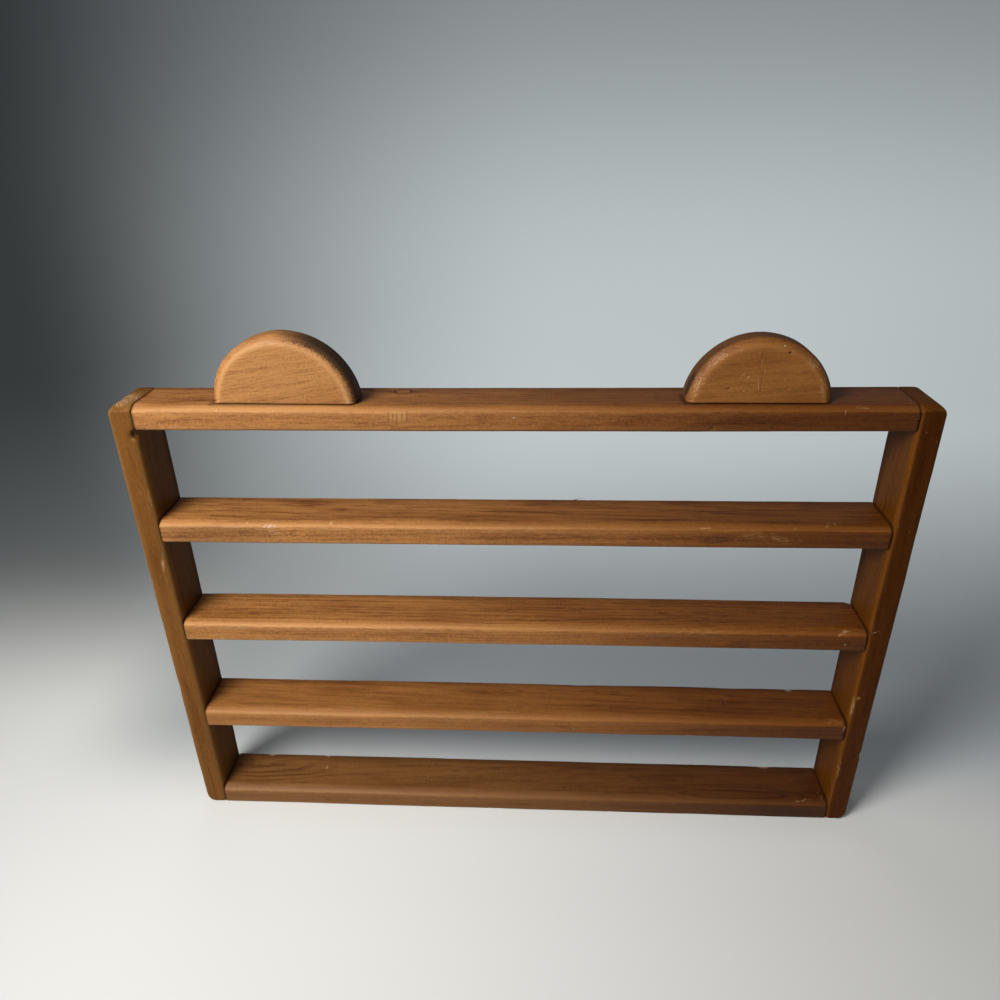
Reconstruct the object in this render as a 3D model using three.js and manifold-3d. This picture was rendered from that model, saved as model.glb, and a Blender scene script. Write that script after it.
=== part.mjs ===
// Small pine wall shelf for a collection: two uprights, five shelves nailed between them,
// and two half-round ears screwed down on the top shelf.
// Millimetres. +X is to the right, +Y towards the wall and +Z up. The origin is on the surface
// that the shelf stands on, in the middle of its width and of its depth.
import * as THREE from "three";
import { mergeVertices, toCreasedNormals } from "three/addons/utils/BufferGeometryUtils.js";
import Module from "manifold-3d";

const wasm = await Module();
wasm.setup();

// Overall size. Every board is planed from the same stock.
const OUTER_WIDTH = 603;
const STOCK_THICKNESS = 19;
const STOCK_DEPTH = 45;
const SHELF_COUNT = 5;
const SHELF_PITCH = 96;

// Room left between two pieces that touch, and round a nail or a screw in its hole.
const FIT_GAP = 0.3;

// Eased arrises of a shelf, each as [across the depth, down the thickness].
const SHELF_TOP_FRONT = [8, 4];
const SHELF_LOWER_FRONT = [2.5, 2.5];
const BACK_ARRIS = [1.5, 1.5];
const END_ARRIS = [1, 1];

// Eased arrises of an upright: along its front edges, and where its outer corners are rounded off.
const SIDE_FRONT_ARRIS = [4, 4];
const SIDE_OUTER_CORNER = [8, 8];

// Half-round ears: a disc cut a little above its centre, with its face arrises rounded over.
const EAR_THICKNESS = 22;
const EAR_FRONT_ROUNDOVER = 6.5;
const EAR_BACK_ROUNDOVER = 5;
const EAR_BASE_ARRIS = [1, 1];
const EARS = [
  { name: "left_half_round", x: -169.3, setBack: 5.2, radius: 55.4, drop: 5.3, turn: -0.02 },
  { name: "right_half_round", x: 172.4, setBack: 6.6, radius: 52.1, drop: 5.4, turn: 0 },
];

// Lost-head nails, two in each end of each shelf, punched just below the outer face.
const NAIL = { length: 50, shank: 2.65, head: 3.6, headHeight: 0.8, flare: 1.4, point: 4, set: 1 };
const NAIL_ROWS = { front: -11, back: 11 };

// Countersunk wood screws, two up through the top shelf into each ear.
const SCREW = { length: 35, shank: 3.5, head: 6.9, headHeight: 0.6, flare: 2.2, point: 5, set: 0.5 };
const SCREW_SPREAD = 26;
const SCREW_SLOT = { width: 0.9, depth: 1 };

// Keyhole slots routed in the back edges of the uprights: a way in one bit wide, which the bit leaves
// a short step longer than round, and a slot above it that shows only its neck.
const KEYHOLE = { bit: 9.5, neck: 4.8, travel: 14, step: 0.2, lip: 4, depth: 9, height: 350 };

// Facets: a quarter round takes twice ARC_STEPS.
const ARC_STEPS = 3;
const EAR_SEGMENTS = 96;
const NAIL_SEGMENTS = 12;
const SCREW_SEGMENTS = 20;

// Sizes that follow from those above.
const SIDE_HEIGHT = (SHELF_COUNT - 1) * SHELF_PITCH + STOCK_THICKNESS;
const SHELF_LENGTH = OUTER_WIDTH - 2 * STOCK_THICKNESS - 2 * FIT_GAP;
const SIDE_CENTRE_X = (OUTER_WIDTH - STOCK_THICKNESS) / 2;
const FRONT_FACE_Y = -STOCK_DEPTH / 2;
const BACK_FACE_Y = STOCK_DEPTH / 2;

// Each view of a board is an outline, and this turns its plane to where the view is seen.
const axis = (x, y, z) => new THREE.Vector3(x, y, z);
const VIEWS = {
  plan: new THREE.Matrix4(),
  front: new THREE.Matrix4().makeBasis(axis(1, 0, 0), axis(0, 0, 1), axis(0, -1, 0)),
  end: new THREE.Matrix4().makeBasis(axis(0, 1, 0), axis(0, 0, 1), axis(1, 0, 0)),
};

// Makes a solid that can be joined and cut from a closed geometry.
function solidFrom(geometry) {
  const bare = geometry.clone();
  bare.deleteAttribute("normal");
  bare.deleteAttribute("uv");
  const merged = mergeVertices(bare);
  return new wasm.Manifold(
    new wasm.Mesh({
      numProp: 3,
      vertProperties: merged.attributes.position.array,
      triVerts: new Uint32Array(merged.index.array),
    }),
  );
}

// Makes a geometry from a solid, smooth over its curves and crisp at its arrises.
function geometryFrom(solid) {
  const mesh = solid.getMesh();
  const geometry = new THREE.BufferGeometry();
  geometry.setAttribute("position", new THREE.BufferAttribute(mesh.vertProperties, 3));
  geometry.setIndex(new THREE.BufferAttribute(mesh.triVerts, 1));
  return toCreasedNormals(geometry, Math.PI / 5);
}

// A rectangle centred on (x, y) whose corners are quarter ellipses, each [along x, along y],
// taken anticlockwise from the lower left.
function easedRectangle(x, y, width, height, corners) {
  const shape = new THREE.Shape();
  corners.forEach(([alongX, alongY], index) => {
    const right = index === 1 || index === 2 ? 1 : -1;
    const upper = index >= 2 ? 1 : -1;
    const centreX = x + right * (width / 2 - alongX);
    const centreY = y + upper * (height / 2 - alongY);
    const start = Math.PI + (index * Math.PI) / 2;
    shape.absellipse(centreX, centreY, alongX, alongY, start, start + Math.PI / 2, false, 0);
  });
  return shape;
}

// A slot with round ends, standing upright over (x, low).
function uprightSlot(x, low, high, width) {
  const shape = new THREE.Shape();
  shape.absarc(x, high, width / 2, 0, Math.PI, false);
  shape.absarc(x, low, width / 2, Math.PI, 2 * Math.PI, false);
  return shape;
}

// Extrudes an outline square to its view, evenly to both sides of the view's plane.
function prism(shape, length, view) {
  const geometry = new THREE.ExtrudeGeometry(shape, {
    depth: length,
    bevelEnabled: false,
    curveSegments: ARC_STEPS,
  });
  geometry.translate(0, 0, -length / 2);
  geometry.applyMatrix4(VIEWS[view]);
  return geometry;
}

// A board is what its plan, front and end views have in common.
function board(width, depth, height, corners) {
  const plan = prism(easedRectangle(0, 0, width, depth, corners.plan), height, "plan");
  const front = prism(easedRectangle(0, 0, width, height, corners.front), depth, "front");
  const end = prism(easedRectangle(0, 0, depth, height, corners.end), width, "end");
  return solidFrom(plan).intersect(solidFrom(front)).intersect(solidFrom(end));
}

const shelfCorners = {
  plan: [END_ARRIS, END_ARRIS, END_ARRIS, END_ARRIS],
  front: [END_ARRIS, END_ARRIS, END_ARRIS, END_ARRIS],
  end: [SHELF_LOWER_FRONT, BACK_ARRIS, BACK_ARRIS, SHELF_TOP_FRONT],
};

function shelf() {
  return board(SHELF_LENGTH, STOCK_DEPTH, STOCK_THICKNESS, shelfCorners);
}

// An upright's outer corners are rounded, and its top front arris matches the top shelf beside it.
function upright(outward) {
  const outer = SIDE_OUTER_CORNER;
  const inner = END_ARRIS;
  const front = outward < 0 ? [outer, inner, inner, outer] : [inner, outer, outer, inner];
  const solid = board(STOCK_THICKNESS, STOCK_DEPTH, SIDE_HEIGHT, {
    plan: [SIDE_FRONT_ARRIS, SIDE_FRONT_ARRIS, BACK_ARRIS, BACK_ARRIS],
    front,
    end: [SHELF_LOWER_FRONT, BACK_ARRIS, BACK_ARRIS, SHELF_TOP_FRONT],
  });
  return solid.subtract(keyhole());
}

// A keyhole slot: a round way in for the head of a wall screw, with a narrow slot above it and a
// wider one behind that, so that the shelf drops down onto the screw.
function keyhole() {
  const low = KEYHOLE.height - SIDE_HEIGHT / 2;
  const high = low + KEYHOLE.travel;
  const bottom = BACK_FACE_Y - KEYHOLE.depth;
  const outside = BACK_FACE_Y + 1;
  const cut = (top, width, from, to) => {
    const geometry = prism(uprightSlot(0, low, top, width), to - from, "front");
    geometry.translate(0, (from + to) / 2, 0);
    return solidFrom(geometry);
  };
  const entry = cut(low + KEYHOLE.step, KEYHOLE.bit, bottom, outside);
  const neck = cut(high, KEYHOLE.neck, bottom, outside);
  const behind = cut(high, KEYHOLE.bit, bottom, BACK_FACE_Y - KEYHOLE.lip);
  return entry.add(neck).add(behind);
}

// A disc turned about the depth axis, with a quarter round on each face, cut flat for its base.
function halfRound({ radius, drop }) {
  const half = EAR_THICKNESS / 2;
  const outline = new THREE.Path();
  outline.moveTo(0, -half);
  outline.lineTo(radius - EAR_FRONT_ROUNDOVER, -half);
  const frontCentre = -half + EAR_FRONT_ROUNDOVER;
  outline.absarc(radius - EAR_FRONT_ROUNDOVER, frontCentre, EAR_FRONT_ROUNDOVER, -Math.PI / 2, 0, false);
  const backCentre = half - EAR_BACK_ROUNDOVER;
  outline.absarc(radius - EAR_BACK_ROUNDOVER, backCentre, EAR_BACK_ROUNDOVER, 0, Math.PI / 2, false);
  outline.lineTo(0, half);
  const disc = new THREE.LatheGeometry(outline.getPoints(ARC_STEPS), EAR_SEGMENTS);
  const top = radius + END_ARRIS[1];
  const corners = [EAR_BASE_ARRIS, EAR_BASE_ARRIS, END_ARRIS, END_ARRIS];
  const section = easedRectangle(0, (drop + top) / 2, EAR_THICKNESS, top - drop, corners);
  return solidFrom(disc).intersect(solidFrom(prism(section, 2 * top, "end")));
}

// The outline of a nail or a screw from its point up to its head, with the top of the head at 0.
// With room round it, this is the outline of its hole, which runs on out through the face.
function fastenerProfile({ length, shank, head, headHeight, flare, point, set }, room) {
  const top = room > 0 ? set + 1 : 0;
  return [
    new THREE.Vector2(0, -length - 2 * room),
    new THREE.Vector2(shank / 2 + room, -length + point - room),
    new THREE.Vector2(shank / 2 + room, -headHeight - flare - room),
    new THREE.Vector2(head / 2 + room, -headHeight - room),
    new THREE.Vector2(head / 2 + room, top),
    new THREE.Vector2(0, top),
  ];
}

function nail(room) {
  return new THREE.LatheGeometry(fastenerProfile(NAIL, room), NAIL_SEGMENTS);
}

function screw(room) {
  const body = new THREE.LatheGeometry(fastenerProfile(SCREW, room), SCREW_SEGMENTS);
  if (room > 0) return body;
  const slot = new THREE.BoxGeometry(SCREW.head + 1, 2 * SCREW_SLOT.depth, SCREW_SLOT.width);
  return geometryFrom(solidFrom(body).subtract(solidFrom(slot)));
}

const place = (position, rotation = new THREE.Euler()) => ({ position, rotation });

function matrixOf({ position, rotation }) {
  const turn = new THREE.Quaternion().setFromEuler(rotation);
  return new THREE.Matrix4().compose(position, turn, axis(1, 1, 1));
}

// The places of the boards.
const shelfCentreZ = (number) => (number - 1) * SHELF_PITCH + STOCK_THICKNESS / 2;
const sides = [
  { name: "left_side", outward: -1 },
  { name: "right_side", outward: 1 },
].map((side) => ({ ...side, ...place(axis(side.outward * SIDE_CENTRE_X, 0, SIDE_HEIGHT / 2)) }));

const shelves = Array.from({ length: SHELF_COUNT }, (_, index) => ({
  name: `shelf_${index + 1}`,
  ...place(axis(0, 0, shelfCentreZ(index + 1))),
}));

const topShelf = shelves[SHELF_COUNT - 1];
const ears = EARS.map((ear) => ({
  ...ear,
  ...place(
    axis(ear.x, FRONT_FACE_Y + ear.setBack + EAR_THICKNESS / 2, SIDE_HEIGHT + FIT_GAP - ear.drop),
    new THREE.Euler(0, 0, ear.turn),
  ),
}));

// A nail points inwards from the outer face, and a screw points up from under the top shelf.
const nails = sides.flatMap((side) =>
  shelves.flatMap((board, index) =>
    Object.entries(NAIL_ROWS).map(([row, y]) => ({
      name: `nail_${side.outward < 0 ? "left" : "right"}_${index + 1}_${row}`,
      joins: [side.name, board.name],
      shape: nail,
      ...place(
        axis(side.outward * (OUTER_WIDTH / 2 - NAIL.set), y, board.position.z),
        new THREE.Euler(0, 0, (-side.outward * Math.PI) / 2),
      ),
    })),
  ),
);

const screws = ears.flatMap((ear) =>
  [-1, 1].map((hand) => ({
    name: `screw_${ear.name.replace("_half_round", "")}_${hand < 0 ? "a" : "b"}`,
    joins: [topShelf.name, ear.name],
    shape: screw,
    ...place(
      axis(ear.x + hand * SCREW_SPREAD, ear.position.y, SIDE_HEIGHT - STOCK_THICKNESS + SCREW.set),
      new THREE.Euler(-Math.PI / 2, 0, 0),
    ),
  })),
);

const fasteners = [...nails, ...screws];

// Drills a piece for every fastener that passes through it.
function drilled(solid, piece) {
  const toPiece = matrixOf(piece).invert();
  return fasteners
    .filter((fastener) => fastener.joins.includes(piece.name))
    .reduce((body, fastener) => {
      const hole = fastener.shape(FIT_GAP);
      hole.applyMatrix4(toPiece.clone().multiply(matrixOf(fastener)));
      return body.subtract(solidFrom(hole));
    }, solid);
}

const woodFinish = (colour) => ({ color: colour, roughness: 0.62, metalness: 0 });
const steelFinish = (colour) => ({ color: colour, roughness: 0.5, metalness: 0.9 });

function mesh(piece, geometry, finish) {
  const made = new THREE.Mesh(geometry, new THREE.MeshStandardMaterial(finish));
  made.name = piece.name;
  made.position.copy(piece.position);
  made.rotation.copy(piece.rotation);
  return made;
}

// The uprights are the darkest boards, and the ears were left the palest.
const carcass = new THREE.Group();
for (const side of sides) {
  carcass.add(mesh(side, geometryFrom(drilled(upright(side.outward), side)), woodFinish(0x8a5528)));
}
for (const board of shelves) {
  carcass.add(mesh(board, geometryFrom(drilled(shelf(), board)), woodFinish(0x9c5c2b)));
}
for (const ear of ears) {
  carcass.add(mesh(ear, geometryFrom(drilled(halfRound(ear), ear)), woodFinish(0xb37a41)));
}

const fastenings = new THREE.Group();
for (const fastener of nails) {
  fastenings.add(mesh(fastener, fastener.shape(0), steelFinish(0x5d5a55)));
}
for (const fastener of screws) {
  fastenings.add(mesh(fastener, fastener.shape(0), steelFinish(0xb59a5c)));
}

const wallShelf = new THREE.Group();
wallShelf.add(carcass, fastenings);

export default wallShelf;
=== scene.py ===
# %% [markdown]
# # A small pine wall shelf
#
# Seven boards planed from one stock and nailed together, with two half-round ears screwed down on
# the top one. A working model, true to size, comes first, and every later cell dresses it: the
# boards are made again with hand-eased arrises, then stained, waxed and worn. Lengths are in
# millimetres, because a maker measures so, and `MM` turns them to metres.

# %% Load the working model
import math

import bpy
import numpy as np
from mathutils import Matrix, Vector


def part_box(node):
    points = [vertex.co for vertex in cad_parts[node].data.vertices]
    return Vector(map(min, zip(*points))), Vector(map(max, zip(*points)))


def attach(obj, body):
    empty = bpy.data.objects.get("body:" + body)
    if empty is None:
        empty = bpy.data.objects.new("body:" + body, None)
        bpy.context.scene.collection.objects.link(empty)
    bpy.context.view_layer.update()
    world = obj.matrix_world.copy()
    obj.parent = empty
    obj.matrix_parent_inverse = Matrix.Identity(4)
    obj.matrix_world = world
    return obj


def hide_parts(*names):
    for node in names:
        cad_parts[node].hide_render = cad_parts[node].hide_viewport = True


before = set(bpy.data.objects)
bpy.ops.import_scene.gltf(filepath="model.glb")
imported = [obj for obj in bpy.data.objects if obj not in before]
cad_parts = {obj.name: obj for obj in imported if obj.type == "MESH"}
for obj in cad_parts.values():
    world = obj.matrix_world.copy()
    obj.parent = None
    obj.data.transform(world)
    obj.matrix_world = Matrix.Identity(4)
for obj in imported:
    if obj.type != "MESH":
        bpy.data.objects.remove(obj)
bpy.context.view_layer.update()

MM = 0.001
BODY = "root"

# %% [markdown]
# ## The camera
#
# A camera is a place, a direction and a focal length. These come from fitting the edges of the real
# shelf in its photograph. Turning first about the upright axis, then downwards, then about the line
# of sight keeps the three angles easy to read.

# %% Place the camera
CAMERA_PLACE = (0.0210, -0.5466, 0.5951)
CAMERA_TURN = 0.0627
CAMERA_DOWN = 0.4696
CAMERA_LEAN = -0.0214
FOCAL_PIXELS = 779.65
FRAME_PIXELS = 1000
SENSOR = 36.0


def add(name, data):
    """Puts a new object with this mesh, lamp or camera into the scene."""
    made = bpy.data.objects.new(name, data)
    bpy.context.scene.collection.objects.link(made)
    return made


camera = add("camera", bpy.data.cameras.new("camera"))
camera.data.sensor_width = SENSOR
camera.data.lens = FOCAL_PIXELS / FRAME_PIXELS * SENSOR
camera.matrix_world = (
    Matrix.Translation(CAMERA_PLACE)
    @ Matrix.Rotation(CAMERA_TURN, 4, "Z")
    @ Matrix.Rotation(math.pi / 2 - CAMERA_DOWN, 4, "X")
    @ Matrix.Rotation(CAMERA_LEAN, 4, "Z")
)
bpy.context.scene.camera = camera
bpy.context.scene.view_settings.view_transform = "Standard"
print("lens, mm:", round(camera.data.lens, 2))

# %% [markdown]
# ## Skins from grids of points
#
# Every shape here is a skin over a grid: rings of points one after the other, with a lid of
# triangles over the first ring and the last. In numpy a ring is one row of an array, so a whole
# board is a few lines of arithmetic. The signed volume of the skin says which way its faces look.

# %% Close grids of points into a skin
def faces_of(rings, first):
    """Quads between neighbouring rings, and fans of triangles to the middles of the end rings."""
    count, around = rings.shape[:2]
    corner = first + np.arange(count * around).reshape(count, around)
    ahead = np.roll(corner, -1, axis=1)
    quads = np.stack([corner[:-1], ahead[:-1], ahead[1:], corner[1:]], axis=-1).reshape(-1, 4)
    middle = np.full(around, first + count * around)
    lids = np.stack([
        np.stack([middle, ahead[0], corner[0]], axis=-1),
        np.stack([middle + 1, corner[-1], ahead[-1]], axis=-1),
    ]).reshape(-1, 3)
    points = np.concatenate([rings.reshape(-1, 3), rings[0].mean(0)[None], rings[-1].mean(0)[None]])
    halves = np.concatenate([quads[:, [0, 1, 2]], quads[:, [0, 2, 3]], lids]) - first
    a, b, c = (points[halves[:, k]] for k in range(3))
    if (a * np.cross(b, c)).sum() < 0:
        quads, lids = quads[:, ::-1], lids[:, ::-1]
    return points, quads.tolist() + lids.tolist()


def skin(name, grids):
    """One mesh from several closed grids of points, in millimetres."""
    points, faces, first = [], [], 0
    for rings in grids:
        some_points, some_faces = faces_of(rings, first)
        points.append(some_points)
        faces += some_faces
        first += len(some_points)
    mesh = bpy.data.meshes.new(name)
    mesh.from_pydata(np.concatenate(points) * MM, [], faces)
    return add(name, mesh)


def points_of(piece):
    """The places of a piece's points, in millimetres, as rows."""
    flat = np.empty(len(piece.data.vertices) * 3)
    piece.data.vertices.foreach_get("co", flat)
    return flat.reshape(-1, 3) / MM


def normals_of(piece):
    """The directions in which a piece's points face, as rows."""
    flat = np.empty(len(piece.data.vertices) * 3)
    piece.data.vertex_normals.foreach_get("vector", flat)
    return flat.reshape(-1, 3)


def box_of(node):
    """The lowest and the highest corner of a node of the working model, in millimetres."""
    return [np.array(corner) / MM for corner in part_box(node)]


# %% [markdown]
# ## A steady unsteady hand
#
# Nothing made with a plane and sandpaper is quite straight. `wander` drifts smoothly between 0 and
# 1: a few sine waves of falling length, added up. Their phases come from a seed, so the shelf looks
# the same each time. Faces are only ever drawn inwards by it.

# %% Drift along a board
def wander(seed, along, length):
    """Five sines with wavelengths of `length` and its halves, each weaker than the last, added."""
    halvings = 2.0 ** np.arange(5)
    strength = halvings ** -0.8
    phases = np.random.default_rng(seed).uniform(0, 2 * np.pi, len(halvings))
    waves = np.sin(2 * np.pi * along[..., None] * halvings / length + phases)
    return 0.5 + 0.5 * (waves * strength).sum(-1) / strength.sum()


def eased(depth, reach, distance):
    """How far a quarter ellipse draws a face in, at a distance from its edge."""
    short = np.clip(1 - distance / reach, 0, 1)
    return depth * (1 - np.sqrt(1 - short * short))


PLANE_BEND = 1.8


def planed(depth, reach, distance):
    """The same for an arris taken off with a plane, which leaves a crisp line on the front."""
    return depth * (1 - np.clip(distance / reach, 0, 1) ** (1 / PLANE_BEND))


# %% [markdown]
# ## The boards
#
# A planed board is one section carried along a length: a rectangle with a quarter ellipse at three
# corners. The fourth, along the top of the front, was taken off wide with a plane. It leaves the top
# smoothly and meets the front in a crisp line, so its drop grows as a power of the way across. Near
# the ends the four sides are drawn in too, as sanding does. Points crowd where the surface turns.

# %% Carry a section along a board
ARC_COLUMNS = (8, 6, 6, 16)
FLAT_COLUMNS = (24, 10, 26, 14)
LID_RINGS = (0.25, 0.55, 0.8, 0.94)
STATION_PITCH = 1.7
END_STATIONS = 14
END_REACH = 9.0
FACE_LOOSENESS, SIDE_LOOSENESS = 0.25, 0.12
FACE_DRIFT, ARRIS_DRIFT = 260.0, 190.0


def stations(length, reach):
    """Places along a board, crowded near both ends as the cosine of a steady angle."""
    lead = reach * (1 - np.cos(np.linspace(0, np.pi / 2, END_STATIONS)[:-1]))
    middle = np.linspace(reach, length - reach, int((length - 2 * reach) / STATION_PITCH))
    return np.concatenate([lead, middle, (length - lead)[::-1]])


def section(sides, corners):
    """Four corners joined by straight runs, at every station at once.

    A corner is (depth sign, thickness sign, depth radius, thickness radius, planed), from the lower
    front round. A point is its centre plus the radii times a cosine and a sine, or on a planed
    corner times the share of the way across and 1 less a power of that share.
    """
    arcs = []
    for index, (toward, up, reach, drop, crisp) in enumerate(corners):
        share = np.linspace(0, 1, ARC_COLUMNS[index])
        angle = math.pi + (index + share) * math.pi / 2
        across = toward * share if crisp else np.cos(angle)
        rise_over = up * (1 - share ** PLANE_BEND) if crisp else np.sin(angle)
        centre = sides[1 if toward > 0 else 0] - toward * reach
        level = sides[3 if up > 0 else 2] - up * drop
        arcs.append(np.stack([
            centre[:, None] + reach[:, None] * across,
            level[:, None] + drop[:, None] * rise_over,
        ], axis=-1))
    runs = []
    for index, arc in enumerate(arcs):
        share = np.linspace(0, 1, FLAT_COLUMNS[index] + 2)[1:-1, None]
        start, end = arc[:, -1:], arcs[(index + 1) % 4][:, :1]
        runs += [arc, start + (end - start) * share]
    return np.concatenate(runs, axis=1)


def eased_board(node, along, corners, ends, outward=1, seed=0, bow=0.0, rough_back=0.4):
    """Rings of a board with the size and place of a node of the working model.

    `along` is the axis of its length, 0 or 2. `corners` gives each arris as (depth, thickness,
    planed), and `ends` how the four sides are drawn in at both ends, as (shape, in, along).
    """
    low, high = box_of(node)
    thick = 2 - along
    across = stations(high[along] - low[along], END_REACH)
    whole = across[-1]
    half = (high[thick] - low[thick]) / 2
    sides = [low[1], high[1], -half, half]
    looseness = (FACE_LOOSENESS, rough_back, SIDE_LOOSENESS, SIDE_LOOSENESS)
    drawn = []
    for index, side in enumerate(sides):
        inward = 1 if index in (0, 2) else -1
        (near, near_in, near_along), (far, far_in, far_along) = ends[index]
        ease = near(near_in, near_along, across) + far(far_in, far_along, whole - across)
        drift = looseness[index] * wander(seed + index, across, FACE_DRIFT)
        drawn.append(side + inward * (ease + drift))
    signs = ((-1, -1), (1, -1), (1, 1), (-1, 1))
    shaped = []
    for index, (reach, drop, crisp) in enumerate(corners):
        change = 0.85 + 0.3 * wander(seed + 10 + index, across, ARRIS_DRIFT)
        shaped.append((*signs[index], reach * change, drop * change, crisp))
    flat = section(drawn, shaped)
    rings = np.empty((*flat.shape[:2], 3))
    rings[..., along] = (low[along] + across)[:, None]
    rings[..., 1] = flat[..., 0]
    rings[..., thick] = (low[thick] + high[thick]) / 2 + outward * flat[..., 1]
    share = across / whole
    rings[..., 2] += (bow * 4 * share * (1 - share))[:, None] * (along == 0)
    shrunk = np.array(LID_RINGS)[:, None, None]
    first, last = (ring.mean(0) + (ring - ring.mean(0)) * shrunk for ring in rings[[0, -1]])
    return np.concatenate([first, rings, last[::-1]])


# %% [markdown]
# ## The ears
#
# Each ear was sawn as a disc, rounded over at both faces and cut flat a little above its centre.
# Rings grow from the middle of the front face to the rim, cross the rim, and shrink again on the
# back. How deep a point lies follows from its distance to the disc's centre, and again from its
# height above the flat cut. The round-over starts from the face at an angle, as a rasp leaves it,
# and a running mean rubs the outline's two feet round.

# %% Shape a half round
OUTLINE_POINTS = 300
FOOT_RUB = 5
FACE_RINGS = 26
ROUND_RINGS = 14
RIM_RINGS = 12
FOOT_ARRIS = 0.5
ROUND_SHARE = 0.62
FACE_HEART = 0.42
RIM_LOOSENESS, RIM_DRIFT = 0.35, 90.0
EAR_FACE_DRIFT = 70.0
TUCK_REACH = 0.4


def rasped(depth, reach, distance):
    """Half of a quarter ellipse and half of a chamfer, so it leaves the face in a clear line."""
    return (eased(depth, reach, distance) + depth * np.clip(1 - distance / reach, 0, 1)) / 2


def half_round(node, turn, front_round, back_round, thickness, tuck, seed):
    """Rings of a half disc with the size and place of a node of the working model."""
    low, high = box_of(node)
    reach = (high[0] - low[0]) / 2
    height = high[2] - low[2]
    radius = (reach ** 2 + height ** 2) / (2 * height)
    drop = radius - height
    foot = math.asin(drop / radius)
    share = np.linspace(0, 1, OUTLINE_POINTS, endpoint=False)
    angle = foot + (math.pi - 2 * foot) * np.clip(share / ROUND_SHARE, 0, 1)
    worn = radius - RIM_LOOSENESS * wander(seed, angle * radius, RIM_DRIFT)
    worn = worn - tuck * np.exp(-((angle - math.pi) / TUCK_REACH) ** 2)
    run = np.clip((share - ROUND_SHARE) / (1 - ROUND_SHARE), 0, 1)
    flat_part = share > ROUND_SHARE
    left_foot = worn[np.argmin(np.abs(angle - (math.pi - foot)))] * math.cos(math.pi - foot)
    x = np.where(flat_part, left_foot + (reach - left_foot) * run, worn * np.cos(angle))
    z = np.where(flat_part, drop, worn * np.sin(angle))
    kernel = np.ones(FOOT_RUB) / FOOT_RUB
    wrap = lambda line: np.convolve(np.pad(line, FOOT_RUB // 2, mode="wrap"), kernel, mode="valid")
    outline = np.stack([wrap(x), wrap(z)], axis=-1)
    heart = np.array([0.0, drop + FACE_HEART * height])
    inner = 1 - front_round / reach * 1.15
    spread = np.concatenate([
        np.linspace(0.04, inner, FACE_RINGS, endpoint=False),
        inner + (1 - inner) * np.sin(np.linspace(0, math.pi / 2, ROUND_RINGS)),
    ])
    flat = heart + (outline - heart) * spread[:, None, None]
    edge = np.where(flat_part, radius, np.hypot(outline[:, 0], outline[:, 1]))
    from_rim = edge - np.hypot(flat[..., 0], flat[..., 1])
    from_foot = flat[..., 1] - drop
    foot_ease = eased(FOOT_ARRIS, FOOT_ARRIS, from_foot)
    front = -thickness / 2 + rasped(front_round, front_round, from_rim) + foot_ease
    back = thickness / 2 - eased(back_round, back_round, from_rim) - foot_ease
    front += FACE_LOOSENESS * wander(seed + 1, flat[..., 0] + 2 * flat[..., 1], EAR_FACE_DRIFT)
    rim = np.linspace(0, 1, RIM_RINGS + 2)[1:-1, None]
    depth = np.concatenate([front, front[-1] + (back[-1] - front[-1]) * rim, back[::-1]])
    around = np.concatenate([flat, np.broadcast_to(flat[-1], (RIM_RINGS, *flat[-1].shape)), flat[::-1]])
    cosine, sine = math.cos(turn), math.sin(turn)
    middle = (low + high) / 2
    return np.stack([
        middle[0] + cosine * around[..., 0] - sine * depth,
        middle[1] + sine * around[..., 0] + cosine * depth,
        low[2] + around[..., 1] - drop,
    ], axis=-1)


# %% [markdown]
# ## Dents, nail holes and keyholes
#
# A knock presses a surface in along its own normal, deepest in its middle and falling off as a bell
# curve. Holes are cut with boolean modifiers, from turned cutters for nails and screws and upright
# slots for the keyholes, so each fastener sits in a real hole. The modifiers are applied at once.

# %% Press dents and cut holes
def press(piece, dents):
    """Moves points against their normals by depth times the bell curve of distance over reach.

    A dent is x, y and z, its reach along each of them, and its depth.
    """
    points = points_of(piece)
    normals = normals_of(piece)
    for dent in np.array(dents, float):
        away = (points - dent[:3]) / dent[3:6]
        points -= normals * (dent[6] * np.exp(-(away * away).sum(-1)))[:, None]
    piece.data.vertices.foreach_set("co", (points * MM).ravel())
    piece.data.update()


def turned(start, direction, outline, steps=24):
    """Rings of a turned cutter: its outline is (distance along the axis, radius) from the start."""
    direction = np.array(direction, float)
    side = np.array([0.0, 1.0, 0.0])
    other = np.cross(direction, side)
    angle = np.linspace(0, 2 * np.pi, steps, endpoint=False)[:, None]
    circle = np.cos(angle) * side + np.sin(angle) * other
    return np.stack([np.array(start) + direction * step + circle * radius for step, radius in outline])


def upright_slot(x, low, high, width, front, back, steps=16):
    """Rings of a slot with round ends: two half circles about its ends, at its front and its back."""
    angle = np.linspace(0, np.pi, steps)
    ring_x = np.concatenate([np.cos(angle), -np.cos(angle)]) * width / 2
    ring_z = np.concatenate([high + np.sin(angle) * width / 2, low - np.sin(angle) * width / 2])
    return np.stack([np.stack([x + ring_x, np.full_like(ring_x, y), ring_z], -1) for y in (front, back)])


def carve(piece, cutters):
    """Cuts each mesh of cutters from the piece, one boolean after the other, and applies them."""
    tools = [skin(f"{piece.name}_cutter_{index}", grids) for index, grids in enumerate(cutters)]
    for tool in tools:
        cut = piece.modifiers.new("cut", "BOOLEAN")
        cut.operation = "DIFFERENCE"
        cut.solver = "MANIFOLD"
        cut.object = tool
    view = bpy.context.evaluated_depsgraph_get()
    done = bpy.data.meshes.new_from_object(piece.evaluated_get(view), depsgraph=view)
    piece.modifiers.clear()
    piece.data = done
    for tool in tools:
        bpy.data.objects.remove(tool)


# %% [markdown]
# ## Fasteners and their holes
#
# The nails go in from the outer faces and the screws up from under the top board. Their places come
# from the working model, and each hole has the fastener's own outline with a little room.

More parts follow.
